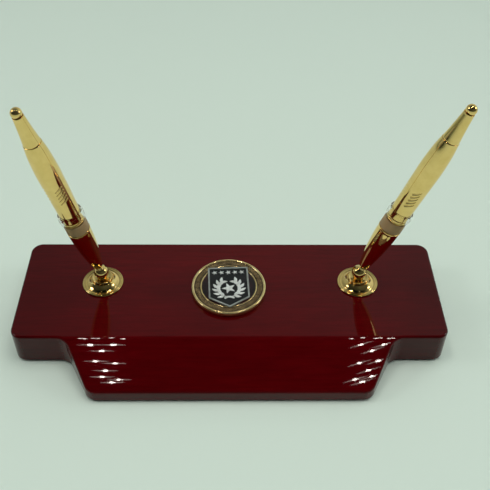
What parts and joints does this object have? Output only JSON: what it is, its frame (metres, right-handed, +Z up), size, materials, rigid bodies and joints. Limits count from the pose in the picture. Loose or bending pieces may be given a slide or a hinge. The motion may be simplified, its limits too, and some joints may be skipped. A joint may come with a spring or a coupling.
{
  "type": "desk pen set",
  "caption": "Lacquered T-shaped wooden desk base with a medallion and a pair of gold twist pens in swivelling, tilting funnel holders.",
  "frame": {"origin": "centre of the outline's box on the underside of the felt, which rests on the desk", "axes": "+Z up, front (the ramped nose) towards -Y, +X along the board to the right as seen from the front"},
  "size_m": [0.254, 0.106, 0.1614],
  "materials": {
    "rosewood": "dark red stained hardwood under a deep gloss lacquer",
    "felt": "short black felt",
    "gold_plate": "mirror-polished gold plate",
    "silver_plate": "satin silver plate with darkened recesses",
    "steel": "plain turned steel",
    "enamel": "hard glossy enamel fill",
    "foam_tape": "double-sided foam tape",
    "clear_plastic": "clear acrylic",
    "white_plastic": "moulded plastic"
  },
  "bodies": {
    "root": {"base_board": "rosewood", "felt_pad": "felt", "medallion_pad": "foam_tape", "medallion_coin": "gold_plate", "medallion_field": "enamel", "shield_plate": "silver_plate", "shield_enamel": "enamel", "shield_wreath": "silver_plate", "shield_star": "silver_plate", "small_star_1": "silver_plate", "small_star_2": "silver_plate", "small_star_3": "silver_plate", "small_star_4": "silver_plate", "small_star_5": "silver_plate", "left_flange": "gold_plate", "left_flat_washer": "steel", "right_flange": "gold_plate", "right_flat_washer": "steel"},
    "left_swivel": {"left_hub": "gold_plate", "left_swivel_stem": "steel", "left_disc_spring": "steel", "left_nut": "steel"},
    "left_holder": {"left_ball": "gold_plate", "left_pivot_pin": "steel", "left_funnel": "gold_plate", "left_funnel_liner": "clear_plastic"},
    "left_pen": {"left_lower_barrel": "gold_plate", "left_tip_cone": "gold_plate", "left_refill_spring": "steel"},
    "left_grip": {"left_finial": "gold_plate", "left_crown": "gold_plate", "left_upper_barrel": "gold_plate", "left_centre_band": "gold_plate", "left_twist_cam": "white_plastic"},
    "left_refill": {"left_refill_tube": "white_plastic", "left_refill_tip": "gold_plate"},
    "right_swivel": {"right_hub": "gold_plate", "right_swivel_stem": "steel", "right_disc_spring": "steel", "right_nut": "steel"},
    "right_holder": {"right_ball": "gold_plate", "right_pivot_pin": "steel", "right_funnel": "gold_plate", "right_funnel_liner": "clear_plastic"},
    "right_pen": {"right_lower_barrel": "gold_plate", "right_tip_cone": "gold_plate", "right_refill_spring": "steel"},
    "right_grip": {"right_finial": "gold_plate", "right_crown": "gold_plate", "right_upper_barrel": "gold_plate", "right_centre_band": "gold_plate", "right_twist_cam": "white_plastic"},
    "right_refill": {"right_refill_tube": "white_plastic", "right_refill_tip": "gold_plate"}
  },
  "joints": [
    {"name": "left_swivel_turn", "type": "hinge", "parent": "root", "child": "left_swivel", "pos_m": [-0.078, 0.0185, 0.0224], "axis": [0, 0, 1], "continuous": true},
    {"name": "left_funnel_tilt", "type": "hinge", "parent": "left_swivel", "child": "left_holder", "pos_m": [-0.078, 0.0185, 0.0319], "axis": [0.6157, -0.788, 0], "range_deg": [-13.1, 36.9]},
    {"name": "left_pen_lift", "type": "slide", "parent": "left_holder", "child": "left_pen", "axis": [-0.1786, -0.1395, 0.974], "range_m": [0, 0.06]},
    {"name": "left_pen_twist", "type": "hinge", "parent": "left_pen", "child": "left_grip", "pos_m": [-0.078, 0.0185, 0.0319], "axis": [-0.1786, -0.1395, 0.974], "range_deg": [0, 152]},
    {"name": "left_refill_travel", "type": "slide", "parent": "left_pen", "child": "left_refill", "axis": [0.1786, 0.1395, -0.974], "range_m": [0, 0.0044]},
    {"name": "right_swivel_turn", "type": "hinge", "parent": "root", "child": "right_swivel", "pos_m": [0.078, 0.0185, 0.0224], "axis": [0, 0, 1], "continuous": true},
    {"name": "right_funnel_tilt", "type": "hinge", "parent": "right_swivel", "child": "right_holder", "pos_m": [0.078, 0.0185, 0.0319], "axis": [0.2198, 0.9755, 0], "range_deg": [-18.2, 31.8]},
    {"name": "right_pen_lift", "type": "slide", "parent": "right_holder", "child": "right_pen", "axis": [0.3047, -0.0687, 0.95], "range_m": [0, 0.06]},
    {"name": "right_pen_twist", "type": "hinge", "parent": "right_pen", "child": "right_grip", "pos_m": [0.078, 0.0185, 0.0319], "axis": [0.3047, -0.0687, 0.95], "range_deg": [0, 152]},
    {"name": "right_refill_travel", "type": "slide", "parent": "right_pen", "child": "right_refill", "axis": [-0.3047, 0.0687, -0.95], "range_m": [0, 0.0044]}
  ],
  "couplings": [
    {"joint": "left_pen_twist", "follows": "left_refill_travel", "rad_per_m": 595},
    {"joint": "right_pen_twist", "follows": "right_refill_travel", "rad_per_m": 595}
  ]
}
